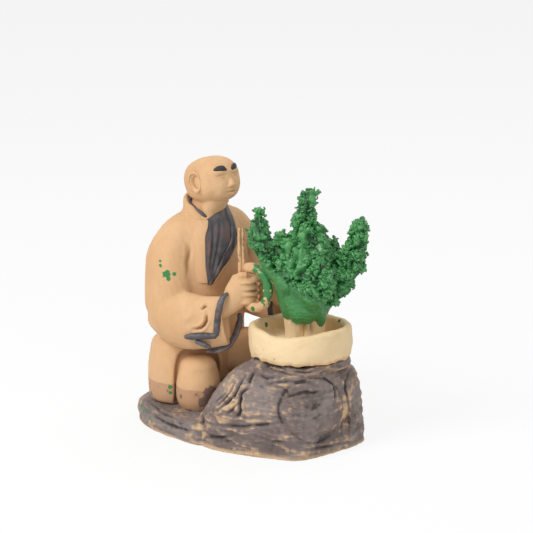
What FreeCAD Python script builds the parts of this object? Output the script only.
"""Hand-built stoneware figure of a kneeling gardener who trims a potted dwarf tree on a rock.

Every piece of clay that the potter shapes by itself is one node. +X runs from the figure to the tree,
the figure's right side faces -Y, +Z is up, and the origin is on the ground under the middle of the base.
"""
import FreeCAD, Part
import math
import os

import Sketcher
from FreeCAD import Placement, Rotation, Vector

document = FreeCAD.newDocument("KneelingGardener")
sheet = document.addObject("Spreadsheet::Sheet", "Sizes")

# Driving dimensions, in millimetres and degrees
drivingSizes = {
    # ground slab and rock
    "slab_x": -18.8,
    "slab_y": -0.45,
    "slab_length": 58.6,
    "slab_depth": 58.0,
    "slab_height": 9.0,
    "slab_edge": 2.4,
    "vent_radius": 6.0,
    "vent_x": -28.6,
    "boulder_x": 17.7,
    "boulder_y": 0.55,
    "boulder_length": 55.4,
    "boulder_depth": 57.0,
    "boulder_height": 34.0,
    "boulder_wall": 5.0,
    "boulder_roof": 6.5,
    "patch_thickness": 0.9,
    "patch_radius": 12.5,
    "strap_thickness": 1.3,
    "strap_width": 9.0,
    "strap_length": 23.0,
    "strip_width": 6.5,
    "strip_length": 27.0,
    # pot, soil and trunks
    "pot_x": 24.0,
    "pot_y": 6.55,
    "pot_radius": 20.5,
    "pot_height": 12.2,
    "pot_wall": 4.2,
    "pot_floor": 4.0,
    "pot_foot_inset": 1.2,
    "pot_lip": 1.8,
    "rim_dip": 3.0,
    "seat_clay_height": 2.2,
    "seat_clay_radius": 6.5,
    "soil_height": 2.6,
    "soil_radius": 8.5,
    "trunk_height": 13.0,
    "trunk_radius": 4.1,
    "side_trunk_radius": 3.0,
    "trunk_spacing": 7.4,
    "tree_x": 25.6,
    "tree_y": 7.25,
    # foliage
    "tree_spread": 44.0,
    "tree_height": 64.0,
    "heart_radius": 16.0,
    "spire_radius": 9.6,
    "spur_radius": 7.0,
    "lobe_radius": 8.0,
    # kneeling body
    "figure_x": -24.6,
    "figure_y": 0.55,
    "figure_depth": 40.0,
    "figure_width": 50.0,
    "figure_height": 100.0,
    "body_depth": 30.0,
    "body_width": 38.0,
    "body_wall": 4.2,
    "seam_x": -26.6,
    "haunch_radius": 12.5,
    "haunch_height": 29.0,
    "knee_radius": 9.0,
    "knee_height": 21.5,
    "thigh_radius": 9.2,
    "shoe_length": 12.0,
    "shoe_width": 8.4,
    "shoe_height": 5.6,
    # sleeves, hands and tool
    "sleeve_radius": 11.0,
    "wrist_radius": 5.0,
    "coil_radius": 1.35,
    "blade_length": 22.0,
    "blade_width": 1.5,
    "blade_thickness": 1.7,
    "loop_radius": 8.0,
    "loop_wire": 3.8,
    "loop_angle": 220.0,
    # dress on the chest
    "chest_x": -20.6,
    "under_robe_thickness": 0.7,
    "lapel_thickness": 1.3,
    "lapel_width": 3.6,
    "collar_wire": 2.2,
    "collar_height": 5.2,
    # head
    "head_x": -19.8,
    "head_z": 100.2,
    "head_depth": 22.6,
    "head_width": 20.0,
    "head_height": 18.6,
    "head_tilt": 14.0,
    "neck_x": -22.0,
    "neck_radius": 6.3,
    "tenon_radius": 5.0,
    "tenon_length": 9.0,
    "tenon_clearance": 0.3,
    "ear_height": 8.6,
    "ear_width": 5.4,
    "ear_thickness": 2.6,
    "brow_length": 5.2,
    "brow_radius": 0.8,
    # cuts run past what they cut by this much
    "overrun": 1.0,
}


def writeSizes():
    """Fills the sheet: the name of each size, its value and its alias."""
    for row, (alias, value) in enumerate(drivingSizes.items(), start=1):
        sheet.set(f"A{row}", alias)
        sheet.set(f"B{row}", str(value))
        sheet.setAlias(f"B{row}", alias)
    document.recompute()


writeSizes()


def size(alias):
    """The present value of one driving dimension."""
    return float(sheet.get(alias))


def bind(item, **expressions):
    """Ties properties of an object to formulas on the sheet; S. stands for the sheet."""
    for path, formula in expressions.items():
        item.setExpression(path.replace("__", "."), formula.replace("S.", "Sizes."))


def primitive(kind, name, position=None, turn=None, **expressions):
    """A Part primitive whose sizes and place are formulas on the sheet."""
    item = document.addObject(kind, name)
    bind(item, **expressions)
    if turn:
        item.Placement = Placement(Vector(), Rotation(Vector(*turn[0]), turn[1]))
    for axis, formula in zip("xyz", position or ()):
        bind(item, **{f"Placement__Base__{axis}": formula})
    return item


def feature(name, shape):
    """A hand-shaped form, lofted through its own sections."""
    item = document.addObject("Part::Feature", name)
    item.Shape = shape
    return item


def cutBy(name, blank, *tools):
    """The blank with the room of each tool taken away, one after another."""
    for count, tool in enumerate(tools, start=1):
        cut = document.addObject("Part::Cut", name if count == len(tools) else f"{name}_cut{count}")
        cut.Base, cut.Tool, cut.Refine = blank, tool, False
        blank = cut
    return blank


def common(name, blank, tool):
    """What two solids share."""
    item = document.addObject("Part::Common", name)
    item.Base, item.Tool, item.Refine = blank, tool, False
    return item


def fuse(name, *pieces):
    """Several solids pressed into one."""
    item = document.addObject("Part::MultiFuse", name)
    item.Shapes, item.Refine = list(pieces), False
    return item


# Rounded ends: how far each extra section lies beyond the end, and how wide it is, as shares of a half round
domeShares = [(0.55, 0.835), (0.85, 0.527), (0.97, 0.243)]
outlinePoints = 12


def closedCurve(points):
    """A smooth closed curve through points, evenly stepped so that curves of a stack match each other."""
    curve = Part.BSplineCurve()
    curve.interpolate(Points=points, PeriodicFlag=True, Parameters=[float(k) for k in range(len(points) + 1)])
    return Part.Wire([curve.toShape()])


def ovalWire(centre, sideways, upwards, radiusSide, radiusUp):
    """One oval section of a hand-rolled form."""
    turns = [2 * math.pi * k / outlinePoints for k in range(outlinePoints)]
    return closedCurve([
        centre + sideways * (radiusSide * math.cos(a)) + upwards * (radiusUp * math.sin(a)) for a in turns
    ])


def addDomes(stations, domes):
    """Adds the shrinking sections of a rounded start or end to (centre, radiusSide, radiusUp) stations."""
    out = list(stations)
    for end, reach in domes.items():
        tip, inner = (stations[0], stations[1]) if end == "start" else (stations[-1], stations[-2])
        away = (tip[0] - inner[0]).normalize()
        extra = [
            (tip[0] + away * (reach * along), tip[1] * width, tip[2] * width) for along, width in domeShares
        ]
        out = extra[::-1] + out if end == "start" else out + extra
    return out


def stack(stations, domes=None):
    """A solid lofted through level ovals, for forms that stand upright."""
    wires = [
        ovalWire(centre, Vector(1, 0, 0), Vector(0, 1, 0), rx, ry)
        for centre, rx, ry in addDomes(stations, domes or {})
    ]
    return Part.makeLoft(wires, True, False)


def sectionAxes(ahead, upwards):
    """The sideways and upward directions of a section that faces ahead."""
    across = ahead.cross(upwards).normalize()
    return across, across.cross(ahead).normalize()


def tube(stations, upwards=Vector(0, 0, 1), domes=None, mouth=None):
    """A solid lofted through ovals that stand square to the path; a slanted mouth faces its own way."""
    stations = addDomes(stations, domes or {})
    centres = [s[0] for s in stations]
    last = len(centres) - 1
    wires = []
    for k, (centre, side, up) in enumerate(stations):
        ahead = (centres[min(k + 1, last)] - centres[max(k - 1, 0)]).normalize()
        axes = sectionAxes(mouth if mouth and k == last else ahead, upwards)
        wires.append(ovalWire(centre, *axes, side, up))
    return Part.makeLoft(wires, True, False)


def figurePoint(xShare, yShare, zShare):
    """A place on the figure, as shares of its depth, width and height from the middle of its seat."""
    return Vector(
        size("figure_x") + size("figure_depth") * xShare,
        size("figure_y") + size("figure_width") * yShare,
        size("slab_height") + size("figure_height") * zShare,
    )


def figureStations(rowShares, side, up):
    """Stations from rows of (x, y, z, side radius, up radius) shares."""
    return [(figurePoint(x, y, z), side * a, up * b) for x, y, z, a, b in rowShares]


# Ground slab and rock

# Outline of the slab, as shares of half its length and depth
slabShares = [
    (-0.95, -0.41), (-0.71, -0.79), (-0.27, -0.97), (0.25, -1.0), (0.72, -0.93), (0.96, -0.52), (1.0, 0.07),
    (0.93, 0.66), (0.59, 0.93), (0.11, 0.99), (-0.40, 0.91), (-0.81, 0.55), (-0.99, 0.05),
]
# Levels of the slab: height share, and how far its edge is drawn in, as a share of the edge rounding
slabLevelShares = [(0.0, 0.15), (0.20, 0.0), (0.60, 0.0), (0.86, 0.35), (1.0, 1.0)]


def slabWire(inset, height):
    halfLength, halfDepth = size("slab_length") / 2 - inset, size("slab_depth") / 2 - inset
    middle = Vector(size("slab_x"), size("slab_y"), height)
    return closedCurve([middle + Vector(x * halfLength, y * halfDepth, 0) for x, y in slabShares])


slabBlank = feature("slab_blank", Part.makeLoft([
    slabWire(inset * size("slab_edge"), level * size("slab_height")) for level, inset in slabLevelShares
], True, False))

# Outline of the rock, as shares of half its length and depth about its own centre
boulderShares = [
    (0.98, 0.10), (0.96, 0.76), (0.55, 0.97), (0.03, 1.0), (-0.40, 0.93), (-0.60, 0.55), (-0.74, 0.10),
    (-1.0, -0.42), (-0.86, -0.82), (-0.42, -0.98), (0.10, -0.84), (0.52, -0.65), (0.86, -0.43),
]
# Levels: height share, length share, depth share, and how far the level moves toward the pot and the back
boulderLevelShares = [
    (0.0, 1.0, 1.0, 0.0, 0.0),
    (0.33, 0.925, 0.955, 0.055, 0.01),
    (0.66, 0.80, 0.87, 0.14, 0.05),
    (0.86, 0.68, 0.74, 0.20, 0.09),
    (0.96, 0.56, 0.62, 0.22, 0.11),
    (1.0, 0.40, 0.45, 0.23, 0.12),
]


def boulderWire(grow, height, lengthShare, depthShare, xShare, yShare):
    halfLength, halfDepth = size("boulder_length") / 2, size("boulder_depth") / 2
    middle = Vector(size("boulder_x") + xShare * halfLength, size("boulder_y") + yShare * halfDepth, height)
    reach = (halfLength * lengthShare + grow, halfDepth * depthShare + grow)
    return closedCurve([middle + Vector(x * reach[0], y * reach[1], 0) for x, y in boulderShares])


def boulderSolid(grow, lift, sink):
    """The rock, larger by grow all round and by lift at the top, and reaching sink below the ground."""
    wires = []
    for level, *places in boulderLevelShares:
        height = level * (size("boulder_height") + lift) - (sink if level == 0 else 0)
        wires.append(boulderWire(grow, height, *places))
    return Part.makeLoft(wires, True, False)


boulderBlank = feature("boulder_blank", boulderSolid(0, 0, 0))
boulderCavity = feature(
    "boulder_cavity", boulderSolid(-size("boulder_wall"), -size("boulder_roof"), size("overrun")))
boulder = cutBy("boulder", boulderBlank, boulderCavity)

vent = primitive(
    "Part::Cylinder", "vent", ("S.vent_x", "S.figure_y", "-S.overrun"),
    Radius="S.vent_radius", Height="S.slab_height + 2 * S.overrun")
baseSlab = cutBy("base_slab", slabBlank, boulderBlank, vent)

# Slabs of clay pressed on to the rock: each is the thickened rock kept inside a cutter
patchSkin = feature("patch_skin", boulderSolid(size("patch_thickness"), 0, 0))
strapSkin = feature("strap_skin", boulderSolid(size("strap_thickness"), size("strap_thickness"), 0))


def rockPoint(places):
    """A place on the rock, as shares of its half length, half depth and height from its centre."""
    x, y, z = places
    return Vector(
        size("boulder_x") + x * size("boulder_length") / 2,
        size("boulder_y") + y * size("boulder_depth") / 2,
        z * size("boulder_height"))


def barCutter(name, placeShares, length, width, along, outward):
    """A bar with rounded corners that lies along one direction on the rock and reaches out in another."""
    along = Vector(*along).normalize()
    across = Vector(*outward).cross(along).normalize()
    box = Part.makeBox(length, width, 2 * width, Vector(-length / 2, -width / 2, -width))
    box = box.makeFillet(width / 3, [e for e in box.Edges if abs(e.tangentAt(e.FirstParameter).z) > 0.9])
    box.Placement = Placement(rockPoint(placeShares), Rotation(along, across, Vector(), "XYZ"))
    return feature(name, box)


patchPlaceShares = (0.40, -0.08, 0.52)
patchCutter = feature("patch_cutter", Part.makeCylinder(
    size("patch_radius"), 3 * size("patch_radius"), rockPoint(patchPlaceShares), Vector(1, -0.12, 0.08)))
frontPatch = cutBy("boulder_front_patch", common("patch_rough", patchSkin, patchCutter), boulderBlank)

strapPlaceShares = (-0.40, -0.62, 0.66)
strapCutter = barCutter(
    "strap_cutter", strapPlaceShares, size("strap_length"), size("strap_width"), (0.60, 0.30, 0.74), (-0.6, -0.6, 0.5))
flankStrap = cutBy("boulder_flank_strap", common("strap_rough", strapSkin, strapCutter), boulderBlank, slabBlank)

stripPlaceShares = (0.88, 0.45, 0.45)
stripCutter = barCutter(
    "strip_cutter", stripPlaceShares, size("strip_length"), size("strip_width"), (-0.25, 0.0, 1.0), (1.0, 0.1, 0.25))
cornerStrip = cutBy("boulder_corner_strip", common("strip_rough", patchSkin, stripCutter), boulderBlank)


# Pot, with a lip that dips at the front

def sketchOn(body, plane, name):
    """A new sketch on one of the body's own origin planes."""
    sketch = body.newObject("Sketcher::SketchObject", name)
    origin = next(f for f in body.Origin.OriginFeatures if f.Role == plane)
    sketch.AttachmentSupport = [(origin, "")]
    sketch.MapMode = "FlatFace"
    return sketch


def polygonSketch(body, plane, name, corners):
    """A closed sketch of straight lines. Each corner is an (x, y) pair of formulas with present values."""
    sketch = sketchOn(body, plane, name)
    count = len(corners)
    spots = [Vector(x[1], y[1], 0) for x, y in corners]
    for k in range(count):
        sketch.addGeometry(Part.LineSegment(spots[k], spots[(k + 1) % count]), False)
    for k in range(count):
        sketch.addConstraint(Sketcher.Constraint("Coincident", k, 2, (k + 1) % count, 1))
    for k, corner in enumerate(corners):
        for kind, (formula, value) in zip(("DistanceX", "DistanceY"), corner):
            number = sketch.addConstraint(Sketcher.Constraint(kind, -1, 1, k, 1, value))
            sketch.setExpression(f"Constraints[{number}]", formula.replace("S.", "Sizes."))
    return sketch


def circleSketch(body, plane, name, formula, value, offset=None):
    """A circle about the origin of one of the body's planes, lifted off it by a formula."""
    sketch = sketchOn(body, plane, name)
    sketch.addGeometry(Part.Circle(Vector(0, 0, 0), Vector(0, 0, 1), value), False)
    sketch.addConstraint(Sketcher.Constraint("Coincident", 0, 3, -1, 1))
    number = sketch.addConstraint(Sketcher.Constraint("Radius", 0, value))
    sketch.setExpression(f"Constraints[{number}]", formula.replace("S.", "Sizes."))
    if offset:
        bind(sketch, AttachmentOffset__Base__z=offset)
    return sketch


def move(item, x, y, z):
    """Places an object by three formulas of the sheet."""
    for axis, formula in zip("xyz", (x, y, z)):
        bind(item, **{f"Placement__Base__{axis}": formula})


potBottom = "(S.boulder_height + S.seat_clay_height)"
potBody = document.addObject("PartDesign::Body", "pot_body")
potRadius, potHeight, potInset = size("pot_radius"), size("pot_height"), size("pot_foot_inset")
potInner = potRadius - size("pot_wall")
potProfile = polygonSketch(potBody, "XZ_Plane", "pot_profile", [
    (("0", 0), ("0", 0)),
    (("S.pot_radius - S.pot_foot_inset", potRadius - potInset), ("0", 0)),
    (("S.pot_radius", potRadius), ("S.pot_height / 3", potHeight / 3)),
    (("S.pot_radius - S.pot_foot_inset / 2", potRadius - potInset / 2), ("S.pot_height", potHeight)),
    (("S.pot_radius - S.pot_wall", potInner), ("S.pot_height", potHeight)),
    (("S.pot_radius - S.pot_wall - S.pot_foot_inset", potInner - potInset), ("S.pot_floor", size("pot_floor"))),
    (("0", 0), ("S.pot_floor", size("pot_floor"))),
])
potTurn = potBody.newObject("PartDesign::Revolution", "pot_turn")
potTurn.Profile = potProfile
potTurn.ReferenceAxis = (potProfile, ["V_Axis"])
potTurn.Angle = 360
document.recompute()
rimEdges = [
    f"Edge{k}" for k, edge in enumerate(potTurn.Shape.Edges, start=1)
    if edge.Curve.TypeId == "Part::GeomCircle" and edge.BoundBox.ZMin > potHeight - size("pot_lip") / 2
]
potLip = potBody.newObject("PartDesign::Fillet", "pot_lip_round")
potLip.Base = (potTurn, rimEdges)
bind(potLip, Radius="S.pot_lip")
move(potBody, "S.pot_x", "S.pot_y", potBottom)

# The dip in the front of the rim lies where the wall is, to the figure's right
rimDip = primitive(
    "Part::Ellipsoid", "rim_dip",
    ("S.pot_x - S.pot_radius * 0.06", "S.pot_y - S.pot_radius * 0.94", f"{potBottom} + S.pot_height"),
    Radius1="S.rim_dip", Radius2="S.pot_radius * 0.62", Radius3="S.pot_radius * 0.62")
pot = cutBy("pot", potBody, rimDip)

seatPlaceShares = [(0.42, -0.30), (-0.40, -0.44), (-0.12, 0.50)]
seatLumps = [
    primitive(
        "Part::Ellipsoid", f"seat_lump{number}",
        (f"S.pot_x + S.pot_radius * {x}", f"S.pot_y + S.pot_radius * {y}", "S.boulder_height - S.seat_clay_height / 2"),
        Radius1="S.seat_clay_height * 1.6", Radius2="S.seat_clay_radius", Radius3="S.seat_clay_radius")
    for number, (x, y) in enumerate(seatPlaceShares, start=1)
]
potSeatClay = cutBy("pot_seat_clay", fuse("seat_rough", *seatLumps), boulderBlank, potBody)

# Soil and the two trunks that stand in it
soilLevel = f"({potBottom} + S.pot_floor)"


def stem(name, xShare, radius, value, lean):
    """A trunk that flares at its foot and at its head, lofted through three circles."""
    body = document.addObject("PartDesign::Body", name)
    sections = [
        circleSketch(body, "XY_Plane", f"{name}_section{k}", f"{radius} * {flare}", value * flare, offset)
        for k, (flare, offset) in enumerate(((1.3, None), (1.0, "S.trunk_height / 2"), (1.15, "S.trunk_height")))
    ]
    loft = body.newObject("PartDesign::AdditiveLoft", f"{name}_loft")
    loft.Profile = sections[0]
    loft.Sections = sections[1:]
    body.Placement = Placement(Vector(), Rotation(Vector(1, -1, 0), lean))
    across = f"S.trunk_spacing * {xShare} * 0.7071"
    move(body, f"S.tree_x + {across}", f"S.tree_y + {across}", soilLevel)
    return body


trunkRightBlank = stem("trunk_right_blank", 0.5, "S.trunk_radius", size("trunk_radius"), -4)
trunkLeftBlank = stem("trunk_left_blank", -0.6, "S.side_trunk_radius", size("side_trunk_radius"), 8)
trunkRight = cutBy("trunk_right", trunkRightBlank, potBody)
trunkLeft = cutBy("trunk_left", trunkLeftBlank, trunkRightBlank, potBody)
soilDome = primitive(
    "Part::Ellipsoid", "soil_dome", ("S.tree_x", "S.tree_y", soilLevel),
    Radius1="S.soil_height", Radius2="S.soil_radius", Radius3="S.soil_radius")
soilMound = cutBy("soil_mound", soilDome, potBody, trunkRightBlank, trunkLeftBlank)

# Loop of the shears, a bent rod whose open side faces the fist; the foliage behind it is cut to its shape
loopWireX = "S.figure_x + S.figure_depth * 0.81"
loopWireZ = "S.slab_height + S.figure_height * 0.525"
loopBody = document.addObject("PartDesign::Body", "shears_loop")
loopSection = sketchOn(loopBody, "XY_Plane", "loop_section")
loopSection.addGeometry(
    Part.Circle(Vector(size("loop_radius"), 0, 0), Vector(0, 0, 1), size("loop_wire") / 2), False)
loopSection.addConstraint(Sketcher.Constraint("PointOnObject", 0, 3, -1))
number = loopSection.addConstraint(Sketcher.Constraint("DistanceX", -1, 1, 0, 3, size("loop_radius")))
loopSection.setExpression(f"Constraints[{number}]", "Sizes.loop_radius")
number = loopSection.addConstraint(Sketcher.Constraint("Radius", 0, size("loop_wire") / 2))
loopSection.setExpression(f"Constraints[{number}]", "Sizes.loop_wire / 2")
loopTurn = loopBody.newObject("PartDesign::Revolution", "loop_turn")
loopTurn.Profile = loopSection
loopTurn.ReferenceAxis = (loopSection, ["V_Axis"])
loopTurn.Angle = size("loop_angle")
bind(loopTurn, Angle="S.loop_angle")
loopBody.Placement = Placement(Vector(), Rotation(Vector(0, 1, 0), size("loop_angle") / -2))
move(loopBody, loopWireX, "S.figure_y - S.figure_width * 0.08", loopWireZ)

# Foliage


def treePoint(xShare, yShare, zShare):
    """A place in the tree, as shares of half its spread and of its height above the soil."""
    return Vector(
        size("tree_x") + xShare * size("tree_spread") / 2,
        size("tree_y") + yShare * size("tree_spread") / 2,
        size("boulder_height") + size("seat_clay_height") + size("pot_floor") + zShare * size("tree_height"))


def treeStations(rowShares, radius):
    """Stations from rows of (x, y, z, radius) shares."""
    return [(treePoint(x, y, z), radius * r, radius * r) for x, y, z, r in rowShares]


heartShares = [
    (0.0, 0.0, 0.165, 0.42), (0.0, 0.0, 0.20, 0.56), (0.0, 0.0, 0.24, 0.64), (0.0, 0.0, 0.31, 0.76),
    (0.0, 0.0, 0.39, 0.90), (0.0, 0.0, 0.47, 0.94), (0.0, 0.0, 0.53, 0.72),
]
spireShares = [
    (0.02, 0.0, 0.44, 0.90), (0.0, -0.02, 0.58, 1.0), (0.0, -0.02, 0.69, 0.84),
    (0.0, -0.02, 0.78, 0.52), (0.01, -0.01, 0.86, 0.44), (0.05, 0.03, 0.92, 0.32),
]
leftSpurShares = [
    (-0.14, -0.20, 0.40, 1.05), (-0.38, -0.38, 0.50, 0.96), (-0.54, -0.50, 0.60, 0.86),
    (-0.60, -0.62, 0.68, 0.70), (-0.57, -0.60, 0.76, 0.48), (-0.54, -0.57, 0.815, 0.32),
]
rightSpurShares = [
    (0.22, 0.24, 0.34, 1.0), (0.42, 0.42, 0.43, 1.0), (0.53, 0.51, 0.53, 0.92),
    (0.62, 0.58, 0.62, 0.68), (0.65, 0.62, 0.70, 0.42), (0.68, 0.63, 0.745, 0.30),
]
frontLobeShares = [
    (0.20, -0.14, 0.26, 0.80), (0.40, -0.20, 0.36, 0.98), (0.52, -0.22, 0.46, 0.86), (0.56, -0.20, 0.54, 0.50),
]
nearLobeShares = [
    (0.0, -0.28, 0.32, 0.70), (-0.02, -0.44, 0.41, 0.86), (-0.03, -0.48, 0.49, 0.74), (-0.02, -0.48, 0.55, 0.42),
]
lowLobeShares = [
    (0.16, 0.22, 0.22, 0.52), (0.30, 0.28, 0.30, 0.74), (0.44, 0.34, 0.38, 0.80), (0.54, 0.40, 0.46, 0.56),
]
backLobeShares = [
    (-0.16, 0.22, 0.30, 0.92), (-0.30, 0.40, 0.42, 1.0), (-0.36, 0.46, 0.54, 0.86), (-0.36, 0.48, 0.62, 0.48),
]
farLobeShares = [
    (0.14, 0.30, 0.32, 0.86), (0.20, 0.46, 0.44, 0.94), (0.18, 0.50, 0.54, 0.76), (0.16, 0.50, 0.61, 0.42),
]

foliageHeart = feature("foliage_heart_blank", stack(
    treeStations(heartShares, size("heart_radius")),
    {"start": size("heart_radius") * 0.12, "end": size("heart_radius") * 0.22}))


branches = {}
branchBlanks = {"heart": foliageHeart, "trunk": trunkRightBlank, "loop": loopBody}


def foliageBranch(name, rowShares, radiusName, *neighbours):
    """A crumbly branch: rounded at its free end, its foot cut away by the neighbours made before it."""
    radius = size(radiusName)
    shape = tube(treeStations(rowShares, radius), Vector(1, -1, 0), {"end": radius * rowShares[-1][3]})
    blank = feature(f"foliage_{name}_blank", shape)
    branches[name] = cutBy(f"foliage_{name}", blank, *[branchBlanks[other] for other in neighbours])
    branchBlanks[name] = blank


foliageBranch("spire", spireShares, "spire_radius", "heart")
foliageBranch("left_spur", leftSpurShares, "spur_radius", "heart", "spire", "loop")
foliageBranch("right_spur", rightSpurShares, "spur_radius", "heart", "spire")
foliageBranch("front_lobe", frontLobeShares, "lobe_radius", "heart", "spire", "right_spur")
foliageBranch("near_lobe", nearLobeShares, "lobe_radius", "heart", "spire", "left_spur", "front_lobe")
foliageBranch("low_lobe", lowLobeShares, "lobe_radius", "heart", "right_spur", "front_lobe", "trunk")
foliageBranch("back_lobe", backLobeShares, "lobe_radius", "heart", "spire", "left_spur")
foliageBranch("far_lobe", farLobeShares, "lobe_radius", "heart", "spire", "right_spur", "back_lobe", "low_lobe")
heart = cutBy("foliage_heart", foliageHeart, trunkRightBlank, trunkLeftBlank, loopBody)

# Kneeling body in its robe

# Levels: x and y of the middle, height, half depth and half width, as shares; the last is the neck's foot
bodyShares = [
    (-0.075, 0.0, 0.0, 0.90, 0.74), (-0.075, 0.0, 0.11, 0.97, 0.84), (-0.05, 0.0, 0.23, 1.07, 0.95),
    (-0.025, 0.0, 0.33, 1.03, 0.95), (-0.025, 0.0, 0.46, 0.96, 0.91), (-0.012, 0.0, 0.57, 0.93, 0.93),
    (0.02, 0.0, 0.66, 0.83, 0.86), (0.045, 0.0, 0.735, 0.64, 0.62), (0.062, 0.0, 0.79, 0.50, 0.41),
]


def bodySolid(grow, rowShares, drop=0):
    """The robed body, larger by grow all round; drop lowers its first level for a cavity's cut."""
    side, across = size("body_depth") / 2, size("body_width") / 2
    wires = []
    for k, (x, y, z, a, b) in enumerate(rowShares):
        centre = figurePoint(x, y, z) - Vector(0, 0, drop if k == 0 else 0)
        wires.append(ovalWire(centre, Vector(1, 0, 0), Vector(0, 1, 0), side * a + grow, across * b + grow))
    return Part.makeLoft(wires, True, False)


neckFoot = f"(S.slab_height + S.figure_height * {bodyShares[-1][2]})"
bodyBlank = feature("body_blank", bodySolid(0, bodyShares))
bodyHollow = feature("body_hollow", bodySolid(-size("body_wall"), bodyShares[:7], size("overrun")))
socket = primitive(
    "Part::Cylinder", "neck_socket",
    ("S.neck_x", "S.figure_y", f"{neckFoot} - S.tenon_length"),
    Radius="S.tenon_radius + S.tenon_clearance", Height="S.tenon_length + 2 * S.overrun")
bodyShell = cutBy("body_shell", bodyBlank, boulderBlank, bodyHollow, socket)


def halfSpace(name, front):
    """A block that covers the front or the back half of the body, parted at the shoulders."""
    block = document.addObject("Part::Box", name)
    bind(block, Length="S.figure_depth", Width="2 * S.figure_width", Height="S.figure_height + 2 * S.overrun")
    move(block, "S.seam_x" + ("" if front else " - S.figure_depth"), "-S.figure_width", "-S.overrun")
    return block


bodyFront = common("body_front_shell", bodyShell, halfSpace("front_half", True))
bodyBack = common("body_back_shell", bodyShell, halfSpace("back_half", False))

# Folded legs under the robe: levels of height and radius for a haunch and for the right knee
haunchLevelShares = [(0.0, 0.90), (0.12, 0.98), (0.50, 1.0), (0.78, 0.90)]
kneeLevelShares = [(0.0, 0.86), (0.16, 0.98), (0.48, 1.0), (0.76, 0.84)]


def mound(name, place, radius, height, levelShares):
    """A rounded lump that stands on the slab and is domed on top."""
    foot = figurePoint(*place, 0)
    stations = [(foot + Vector(0, 0, share * height), radius * r, radius * r) for share, r in levelShares]
    lastShare = levelShares[-1][0]
    return feature(name, stack(stations, {"end": height * (1 - lastShare)}))


haunchPlaceShares = {"right_haunch": (-0.125, -0.21), "left_haunch": (-0.125, 0.20)}
haunchBlanks = {
    name: mound(f"{name}_blank", place, size("haunch_radius"), size("haunch_height"), haunchLevelShares)
    for name, place in haunchPlaceShares.items()
}
haunches = {name: cutBy(name, blank, bodyBlank) for name, blank in haunchBlanks.items()}

kneePlaceShares = (0.225, -0.245)
rightKneeBlank = mound(
    "right_knee_blank", kneePlaceShares, size("knee_radius"), size("knee_height"), kneeLevelShares)
rightKnee = cutBy("right_knee", rightKneeBlank, bodyBlank, haunchBlanks["right_haunch"], boulderBlank)

# Raised left leg: thigh, bent knee and shin
leftLegShares = [
    (0.05, 0.14, 0.15, 0.95, 0.95), (0.35, 0.19, 0.20, 1.0, 1.0), (0.56, 0.23, 0.20, 0.92, 0.92),
    (0.64, 0.26, 0.14, 0.82, 0.84), (0.58, 0.26, 0.06, 0.76, 0.76), (0.54, 0.26, 0.0, 0.72, 0.72),
]
leftLegBlank = feature("left_leg_blank", tube(
    figureStations(leftLegShares, size("thigh_radius"), size("thigh_radius")), Vector(1, 0, 1)))
leftLeg = cutBy("left_leg", leftLegBlank, bodyBlank, haunchBlanks["left_haunch"], boulderBlank, slabBlank, potBody)

shoePlaceShares = {"left_shoe": (0.36, 0.37), "right_shoe": (-0.42, -0.13)}
shoeTools = {"left_shoe": (leftLegBlank, boulderBlank), "right_shoe": (haunchBlanks["right_haunch"],)}
shoes = {}
for shoeName, (xShare, yShare) in shoePlaceShares.items():
    shoeBlank = primitive(
        "Part::Ellipsoid", f"{shoeName}_blank",
        (f"S.figure_x + S.figure_depth * {xShare}", f"S.figure_y + S.figure_width * {yShare}",
         "S.slab_height + S.shoe_height / 3"),
        Radius1="S.shoe_height", Radius2="S.shoe_length / 2", Radius3="S.shoe_width / 2")
    shoes[shoeName] = cutBy(shoeName, shoeBlank, bodyBlank, slabBlank, *shoeTools[shoeName])

# Sleeves, each an upper and a lower tube pressed into one: x, y, z and the radii across and along the fold
rightUpperShares = [
    (-0.02, -0.21, 0.765, 0.48, 0.60), (-0.06, -0.29, 0.71, 0.76, 0.90), (-0.07, -0.34, 0.62, 0.80, 0.93),
    (-0.06, -0.36, 0.52, 0.78, 0.93), (-0.04, -0.375, 0.42, 0.76, 0.92),
]
rightLowerShares = [
    (-0.06, -0.385, 0.395, 0.72, 0.98), (0.10, -0.385, 0.375, 0.70, 1.05), (0.26, -0.36, 0.37, 0.60, 1.06),
    (0.42, -0.30, 0.372, 0.54, 1.0), (0.60, -0.215, 0.385, 0.50, 0.95),
]
leftUpperShares = [
    (0.0, 0.22, 0.755, 0.48, 0.60), (0.0, 0.31, 0.705, 0.78, 0.92), (0.0, 0.37, 0.62, 0.84, 0.95),
    (0.0, 0.40, 0.53, 0.82, 0.95), (0.02, 0.41, 0.45, 0.76, 0.90),
]
leftLowerShares = [
    (0.0, 0.41, 0.43, 0.72, 0.90), (0.16, 0.41, 0.42, 0.70, 0.95), (0.34, 0.385, 0.415, 0.60, 0.92),
    (0.52, 0.345, 0.41, 0.50, 0.84), (0.69, 0.31, 0.41, 0.42, 0.74),
]
rightMouth, leftMouth = Vector(1, 0, 0), Vector(0.95, -0.30, 0)


def sleeve(name, upperShares, lowerShares, mouth):
    """The whole sleeve before it is cut, and its lower tube alone."""
    radius = size("sleeve_radius")
    upper, lower = (figureStations(rows, radius, radius) for rows in (upperShares, lowerShares))
    upperTube = feature(f"{name}_upper", tube(upper, Vector(1, 0, 0), {"start": radius / 4, "end": radius * 0.7}))
    lowerTube = feature(f"{name}_lower", tube(lower, Vector(0, 0, 1), {"start": radius * 0.6}, mouth))
    return fuse(f"{name}_blank", upperTube, lowerTube), lowerTube


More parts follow.
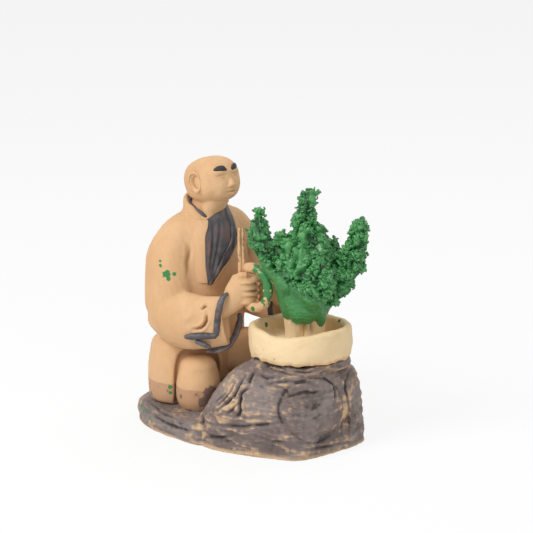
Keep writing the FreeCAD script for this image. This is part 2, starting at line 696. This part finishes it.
rightSleeveBlank, rightForearm = sleeve("right_sleeve", rightUpperShares, rightLowerShares, rightMouth)
leftSleeveBlank, leftForearm = sleeve("left_sleeve", leftUpperShares, leftLowerShares, leftMouth)
rightSleeve = cutBy(
    "right_sleeve", rightSleeveBlank, bodyBlank, haunchBlanks["right_haunch"], rightKneeBlank, leftLegBlank)
leftSleeve = cutBy("left_sleeve", leftSleeveBlank, bodyBlank, haunchBlanks["left_haunch"], leftLegBlank)

# Hands and the shears in the right one
rightHandShares = [
    (0.48, -0.26, 0.385, 0.60, 0.62), (0.60, -0.18, 0.445, 0.70, 0.80), (0.66, -0.115, 0.495, 0.84, 1.12),
    (0.70, -0.07, 0.52, 0.86, 1.32),
]
leftHandShares = [
    (0.64, 0.30, 0.42, 0.52, 0.55), (0.72, 0.21, 0.465, 0.60, 0.66), (0.755, 0.13, 0.50, 0.62, 0.82),
    (0.76, 0.08, 0.515, 0.56, 0.80),
]


def handSolid(rowShares):
    stations = figureStations(rowShares, size("wrist_radius"), size("wrist_radius"))
    return tube(stations, Vector(0, 0, 1), {"end": size("wrist_radius") * 0.6})


bladeFootShares = {"shears_near_blade": (0.664, -0.118), "shears_far_blade": (0.691, -0.086)}
# Along a blade: length share, then width share
bladeRows = [(0.0, 1.0), (0.25, 1.05), (0.5, 1.05), (0.75, 0.95), (0.92, 0.72), (1.0, 0.42)]
bladeFootHeight = 0.54
blades = {}
for bladeName, (xShare, yShare) in bladeFootShares.items():
    foot = figurePoint(xShare, yShare, bladeFootHeight)
    blades[bladeName] = feature(bladeName, stack([
        (foot + Vector(-share * size("blade_width") / 2, 0, share * size("blade_length")),
         width * size("blade_thickness") / 2, width * size("blade_width") / 2)
        for share, width in bladeRows
    ]))

# Coils of dark clay: two lie on the rims of the sleeve mouths, from one angle to another, in degrees
rimCoilTurns = {
    "right_cuff_near_coil": (rightLowerShares, rightMouth, 86, -24, 1.0),
    "right_cuff_far_band": (rightLowerShares, rightMouth, -58, -172, 1.15),
    "left_cuff_coil": (leftLowerShares, leftMouth, 64, -78, 0.95),
}
# Two more are pressed on beside them: x, y, z and radius shares
lowerCoilShares = [
    (0.60, -0.335, 0.335, 0.9), (0.50, -0.385, 0.335, 1.15), (0.42, -0.435, 0.33, 1.15), (0.36, -0.475, 0.325, 0.8),
]
tuckShares = [(0.46, -0.425, 0.315, 1.0), (0.52, -0.39, 0.30, 1.2), (0.57, -0.355, 0.285, 0.7)]


def rimStations(rowShares, mouth, start, end, thickness):
    """Stations along the rim of a sleeve's mouth, standing out of it and round it by half the coil's radius."""
    centre, side, up = figureStations(rowShares, size("sleeve_radius"), size("sleeve_radius"))[-1]
    across, upright = sectionAxes(mouth, Vector(0, 0, 1))
    radius = size("coil_radius") * thickness
    side, up = side + radius / 2, up + radius / 2
    steps = 6
    turns = [math.radians(start + (end - start) * k / steps) for k in range(steps + 1)]
    return [
        (centre + across * (side * math.cos(a)) + upright * (up * math.sin(a)) + mouth * (radius / 2), radius, radius)
        for a in turns
    ]


coilStations = {name: (rimStations(*turns), turns[1]) for name, turns in rimCoilTurns.items()}
for coilName, rowShares in (("right_cuff_lower_coil", lowerCoilShares), ("right_cuff_tuck", tuckShares)):
    rows = [(*row, row[-1]) for row in rowShares]
    coilStations[coilName] = (figureStations(rows, size("coil_radius"), size("coil_radius")), Vector(0, 0, 1))
coils = {}
coilBlanks = {"left": [], "right": []}
for coilName, (stations, upwards) in coilStations.items():
    roundEnd = stations[0][1]
    coilBlank = feature(f"{coilName}_blank", tube(stations, upwards, {"start": roundEnd, "end": roundEnd}))
    side = coilName.split("_")[0]
    forearm = rightForearm if side == "right" else leftForearm
    coils[coilName] = cutBy(coilName, coilBlank, forearm, *coilBlanks[side])
    coilBlanks[side].append(coilBlank)

rightHandBlank = feature("right_hand_blank", handSolid(rightHandShares))
leftHandBlank = feature("left_hand_blank", handSolid(leftHandShares))
rightHand = cutBy("right_hand", rightHandBlank, rightForearm, loopBody, *blades.values(), *coilBlanks["right"])
leftHand = cutBy("left_hand", leftHandBlank, leftForearm, rightHandBlank, loopBody, *coilBlanks["left"])

# Dress on the chest: panels of the dark under-robe and the folded edges of the outer robe

# The open front, seen from ahead: y and z shares of the figure, from the neck down its right side and up its left
openingRightShares = [(-0.13, 0.81), (-0.20, 0.685), (-0.18, 0.52)]
openingLeftShares = [(0.004, 0.59), (0.128, 0.71), (0.07, 0.81)]
overlapShares = [(0.04, 0.81), (-0.06, 0.65), (-0.13, 0.50)]


def chestPrism(name, outlineShares):
    """A block whose outline is given in y and z shares, reaching from inside the body out past the chest."""
    behind = size("chest_x")
    points = [figurePoint(0, y, z) for y, z in outlineShares]
    face = Part.Face(Part.makePolygon([Vector(behind, p.y, p.z) for p in points + points[:1]]))
    return feature(name, face.extrude(Vector(size("figure_depth"), 0, 0)))


def shifted(outlineShares, across):
    """The same edge moved sideways by a real width."""
    return [(y + across / size("figure_width"), z) for y, z in outlineShares]


panelSkin = feature("panel_skin", bodySolid(size("under_robe_thickness"), bodyShares))
lapelSkin = feature("lapel_skin", bodySolid(size("lapel_thickness"), bodyShares))


def chestPiece(name, skin, outlineShares, *tools):
    rough = common(f"{name}_rough", skin, chestPrism(f"{name}_prism", outlineShares))
    return cutBy(name, rough, bodyBlank, *tools)


underRight = chestPiece("under_robe_right", panelSkin, openingRightShares + overlapShares[::-1])
underLeft = chestPiece("under_robe_left", panelSkin, overlapShares + openingLeftShares)
lapelWidth = size("lapel_width")
lapelRight = chestPiece(
    "lapel_right", lapelSkin, shifted(openingRightShares, -lapelWidth) + openingRightShares[::-1], rightSleeveBlank)
lapelLeft = chestPiece(
    "lapel_left", lapelSkin, openingLeftShares + shifted(openingLeftShares, lapelWidth)[::-1])

# Head, tilted back, with its neck and the tenon that sits in the body's socket
headTurn = Rotation(Vector(0, 1, 0), -size("head_tilt"))


def onHead(name, places, turn=0, **radii):
    """An oval lump on the tilted head; its place is in shares of half the head's depth, width and height."""
    x, y, z = places
    offset = Vector(x * size("head_depth") / 2, y * size("head_width") / 2, z * size("head_height") / 2)
    lump = primitive("Part::Ellipsoid", name, **radii)
    centre = Vector(size("head_x"), size("figure_y"), size("head_z"))
    lump.Placement = Placement(centre + headTurn.multVec(offset), headTurn * Rotation(Vector(0, 0, 1), turn))
    return lump


skull = onHead(
    "skull", (0, 0, 0), Radius1="S.head_height / 2", Radius2="S.head_depth / 2", Radius3="S.head_width / 2")
jawShares = (0.36, 0.0, -0.36)
jaw = onHead(
    "jaw", jawShares,
    Radius1="S.head_height * 0.36", Radius2="S.head_depth * 0.33", Radius3="S.head_width * 0.40")
noseShares = (0.99, 0.0, -0.16)
nose = onHead(
    "nose", noseShares,
    Radius1="S.head_height * 0.11", Radius2="S.head_depth * 0.07", Radius3="S.head_width * 0.08")
neck = primitive(
    "Part::Cylinder", "neck", ("S.neck_x", "S.figure_y", neckFoot),
    Radius="S.neck_radius", Height=f"S.head_z - {neckFoot}")
tenon = primitive(
    "Part::Cylinder", "tenon", ("S.neck_x", "S.figure_y", f"{neckFoot} - S.tenon_length"),
    Radius="S.tenon_radius", Height="S.tenon_length + S.overrun")
headBlank = fuse("head_blank", skull, jaw, nose, neck)
head = fuse("head", headBlank, tenon)

earShares, browShares = (0.02, 1.02, 0.06), (0.82, 0.36, 0.47)
browTurn = 24
trim = {}
for side, sign in (("right", -1), ("left", 1)):
    ear = onHead(
        f"ear_{side}_blank", (earShares[0], sign * earShares[1], earShares[2]), 12 * sign,
        Radius1="S.ear_height / 2", Radius2="S.ear_width / 2", Radius3="S.ear_thickness / 2")
    trim[f"ear_{side}"] = cutBy(f"ear_{side}", ear, headBlank)
    brow = onHead(
        f"brow_{side}_blank", (browShares[0], sign * browShares[1], browShares[2]), browTurn * sign,
        Radius1="S.brow_radius * 1.3", Radius2="S.brow_radius", Radius3="S.brow_length / 2")
    trim[f"brow_{side}"] = cutBy(f"brow_{side}", brow, headBlank)

# Collar of the outer robe round the back of the neck: x, y, z shares
collarShares = [
    (0.12, -0.15, 0.775), (-0.05, -0.155, 0.79), (-0.145, -0.09, 0.80), (-0.17, 0.0, 0.80),
    (-0.145, 0.09, 0.80), (-0.05, 0.155, 0.79), (0.12, 0.15, 0.775),
]
collarBlank = feature("collar_blank", tube(
    [(figurePoint(x, y, z), size("collar_wire") / 2, size("collar_height") / 2) for x, y, z in collarShares]))
collar = cutBy("collar_back", collarBlank, bodyBlank, headBlank, rightSleeveBlank, leftSleeveBlank, lapelRight, lapelLeft)

document.recompute()

parts = [
    baseSlab, boulder, frontPatch, flankStrap, cornerStrip, pot, potSeatClay, soilMound, trunkLeft, trunkRight,
    heart, *branches.values(), bodyFront, bodyBack, *haunches.values(), rightKnee, leftLeg,
    *shoes.values(), rightSleeve, leftSleeve, rightHand, leftHand, loopBody, *blades.values(), *coils.values(),
    underRight, underLeft, lapelRight, lapelLeft, head, *trim.values(), collar,
]

broken = [item.Name for item in document.Objects if {"Invalid", "Error"} & set(item.State)]
if broken:
    raise RuntimeError(f"these objects failed: {broken}")
for item in parts:
    shape = item.Shape
    if shape.isNull() or not shape.isValid() or not shape.Solids:
        raise RuntimeError(f"{item.Label} has no sound shape")
    print(f"{item.Label:24s} {len(shape.Solids)} solids {shape.Volume:9.1f} mm3", [round(v, 1) for v in (
        shape.BoundBox.XMin, shape.BoundBox.XMax, shape.BoundBox.YMin, shape.BoundBox.YMax,
        shape.BoundBox.ZMin, shape.BoundBox.ZMax)])

os.makedirs("parts", exist_ok=True)
for item in parts:
    item.Shape.exportStep(f"parts/{item.Label}.step")
